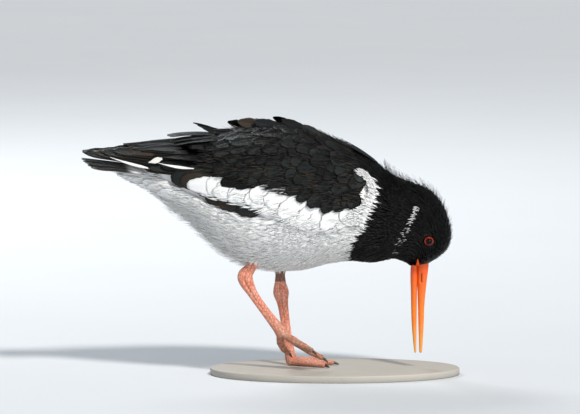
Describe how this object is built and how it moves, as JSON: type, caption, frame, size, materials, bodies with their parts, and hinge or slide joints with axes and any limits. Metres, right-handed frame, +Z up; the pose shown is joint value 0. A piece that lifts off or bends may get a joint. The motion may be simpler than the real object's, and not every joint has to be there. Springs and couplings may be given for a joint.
{
  "type": "oystercatcher",
  "caption": "Life-size black and white wading bird with a long orange bill held straight down, standing on one leg on a low oval base.",
  "frame": {"origin": "centre of the base's flat underside", "axes": "+Z up, +X the way the bird faces, +Y to its left"},
  "size_m": [0.3179, 0.12, 0.2154],
  "materials": {
    "black_plumage": "soft feathers with a slight gloss",
    "white_plumage": "soft matt feathers",
    "bill_horn": "satin horn",
    "eye": "polished",
    "leg_skin": "scaly skin",
    "claw_horn": "horn",
    "base": "matt"
  },
  "bodies": {
    "root": {"head": "black_plumage", "neck": "black_plumage", "mantle": "black_plumage", "torso": "white_plumage", "tail": "black_plumage", "wing_right": "black_plumage", "wing_left": "black_plumage", "bill_upper": "bill_horn", "bill_lower": "bill_horn", "eye_right": "eye", "eye_left": "eye", "thigh_right": "white_plumage", "shank_right": "leg_skin", "tarsus_right": "leg_skin", "foot_right": "leg_skin", "claw_right_inner": "claw_horn", "claw_right_middle": "claw_horn", "claw_right_outer": "claw_horn", "thigh_left": "white_plumage", "shank_left": "leg_skin", "tarsus_left": "leg_skin", "foot_left": "leg_skin", "claw_left_inner": "claw_horn", "claw_left_middle": "claw_horn", "claw_left_outer": "claw_horn", "stand_base": "base"}
  },
  "joints": []
}
